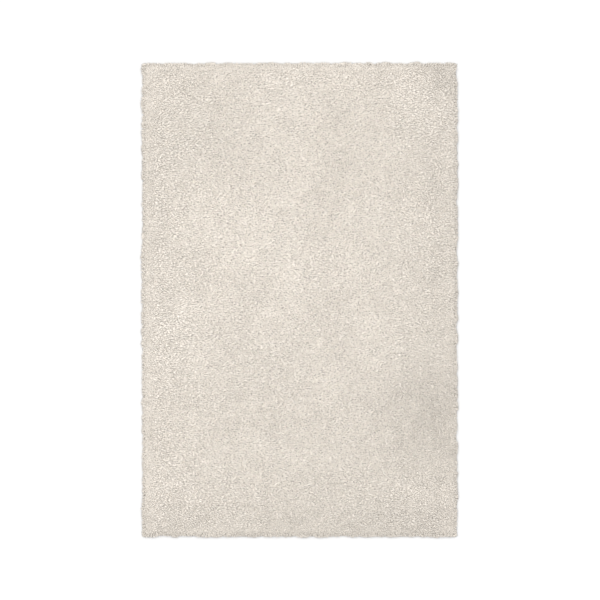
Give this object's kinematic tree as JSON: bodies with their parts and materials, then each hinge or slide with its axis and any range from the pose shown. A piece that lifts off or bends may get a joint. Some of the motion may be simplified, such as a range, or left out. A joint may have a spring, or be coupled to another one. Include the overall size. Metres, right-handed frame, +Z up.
{
  "type": "shag rug",
  "caption": "Plain rectangular shag rug lying flat, with long soft pile that bunches on top and spills over its straight edges to the floor.",
  "frame": {"origin": "middle of the underside, on the floor that the rug lies on", "axes": "+Z up out of the floor, +Y along the rug's length, +X across its width"},
  "size_m": [1.2, 1.8, 0.0358],
  "materials": {
    "pile": "matte",
    "backing": "matte"
  },
  "bodies": {
    "root": {"shag_rug": "pile"}
  },
  "joints": []
}
